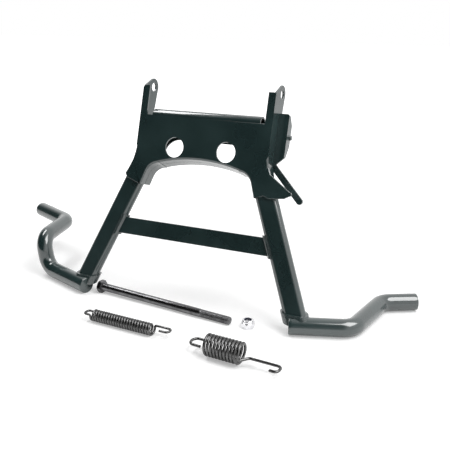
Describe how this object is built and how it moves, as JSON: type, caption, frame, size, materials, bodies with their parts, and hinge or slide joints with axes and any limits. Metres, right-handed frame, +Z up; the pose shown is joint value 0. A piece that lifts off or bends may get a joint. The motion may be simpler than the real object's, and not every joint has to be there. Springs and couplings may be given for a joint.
{
  "type": "motorcycle centre stand",
  "caption": "Welded motorcycle centre stand with a pressed double plate, splayed legs, crossbar and bent feet, with its pivot bolt, lock nut and two return springs laid beside it",
  "frame": {"origin": "centre of the bounding box's underside: the stand rests on the floor at Z = 0", "axes": "X across the stand along its pivot axis and its longest extent, Y from the front of the stand towards its back, Z up"},
  "size_m": [0.6998, 0.2882, 0.3191],
  "materials": {
    "black_paint": "gloss black paint over welded steel",
    "blackened_steel": "dark phosphated steel, slightly oily",
    "zinc_nut": "bright zinc plate",
    "nylon": "dark nylon insert",
    "zinc_spring": "bright zinc-plated spring wire"
  },
  "bodies": {
    "root": {"front_plate": "black_paint", "rear_plate": "black_paint", "top_tube": "black_paint", "left_leg": "black_paint", "right_leg": "black_paint", "crossbar": "black_paint", "left_foot": "black_paint", "right_foot": "black_paint", "left_foot_weld": "black_paint", "right_foot_weld": "black_paint", "left_bar_weld": "black_paint", "right_bar_weld": "black_paint", "spring_bracket": "black_paint", "hook_pin": "black_paint", "stop_strap": "black_paint", "pivot_bolt": "blackened_steel", "lock_nut": "zinc_nut", "nut_insert": "nylon", "long_spring": "zinc_spring", "short_spring": "zinc_spring"}
  },
  "joints": []
}
